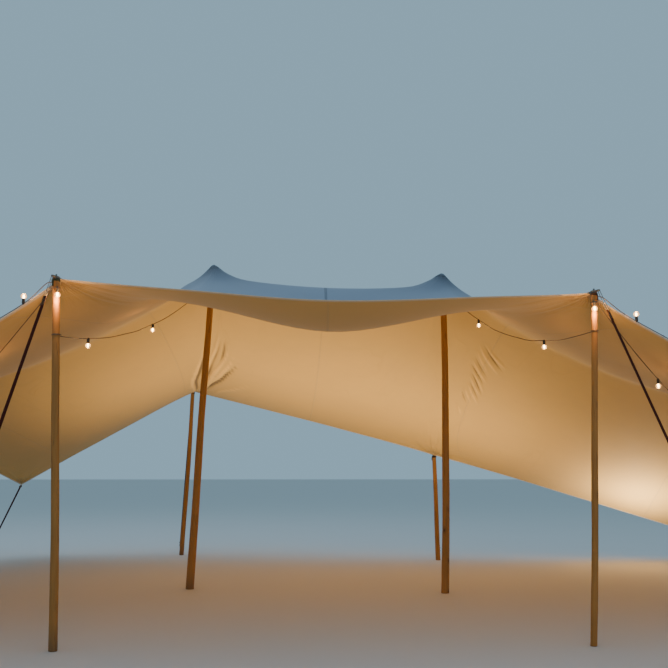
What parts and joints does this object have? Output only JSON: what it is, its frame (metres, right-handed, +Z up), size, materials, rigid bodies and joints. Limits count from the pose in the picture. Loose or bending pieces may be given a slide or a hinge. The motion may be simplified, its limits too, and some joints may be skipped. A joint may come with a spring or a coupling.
{
  "type": "stretch tent",
  "caption": "Open stretch tent: one sand-coloured stretch cloth over two tall centre poles and leaning edge poles, held out by webbing guys and corner straps to stakes.",
  "frame": {"origin": "on the ground, under the middle of the plan from stake to stake", "axes": "+X to the right seen from the open front, +Y from the front edge to the rear, +Z up"},
  "size_m": [16.252, 10.452, 4.214],
  "materials": {
    "canopy_cloth": "matte stretch knit, sand",
    "timber": "peeled and oiled",
    "steel": "galvanised",
    "webbing": "woven",
    "pole_pad": "matte",
    "lamp_string": "black cable and holders, warm clear bulbs"
  },
  "bodies": {
    "root": {"canopy": "canopy_cloth", "front_left_pole": "timber", "front_left_pole_pin": "steel", "front_left_edge_plate": "steel", "front_left_guy_strap": "webbing", "front_left_stake": "steel", "front_right_pole": "timber", "front_right_pole_pin": "steel", "front_right_edge_plate": "steel", "front_right_guy_strap": "webbing", "front_right_stake": "steel", "side_left_pole": "timber", "side_left_pole_pin": "steel", "side_left_edge_plate": "steel", "side_left_guy_strap": "webbing", "side_left_stake": "steel", "side_right_pole": "timber", "side_right_pole_pin": "steel", "side_right_edge_plate": "steel", "side_right_guy_strap": "webbing", "side_right_stake": "steel", "rear_left_pole": "timber", "rear_left_pole_pin": "steel", "rear_left_edge_plate": "steel", "rear_left_guy_strap": "webbing", "rear_left_stake": "steel", "rear_right_pole": "timber", "rear_right_pole_pin": "steel", "rear_right_edge_plate": "steel", "rear_right_guy_strap": "webbing", "rear_right_stake": "steel", "centre_left_pole": "timber", "centre_left_pole_pad": "pole_pad", "centre_right_pole": "timber", "centre_right_pole_pad": "pole_pad", "front_left_corner_strap": "webbing", "front_left_corner_stake": "steel", "front_right_corner_strap": "webbing", "front_right_corner_stake": "steel", "rear_left_corner_strap": "webbing", "rear_left_corner_stake": "steel", "rear_right_corner_strap": "webbing", "rear_right_corner_stake": "steel", "left_inner_lamp_string": "lamp_string", "right_inner_lamp_string": "lamp_string", "left_outer_lamp_string": "lamp_string", "right_outer_lamp_string": "lamp_string", "left_rim_lamp_string": "lamp_string", "right_rim_lamp_string": "lamp_string"}
  },
  "joints": []
}
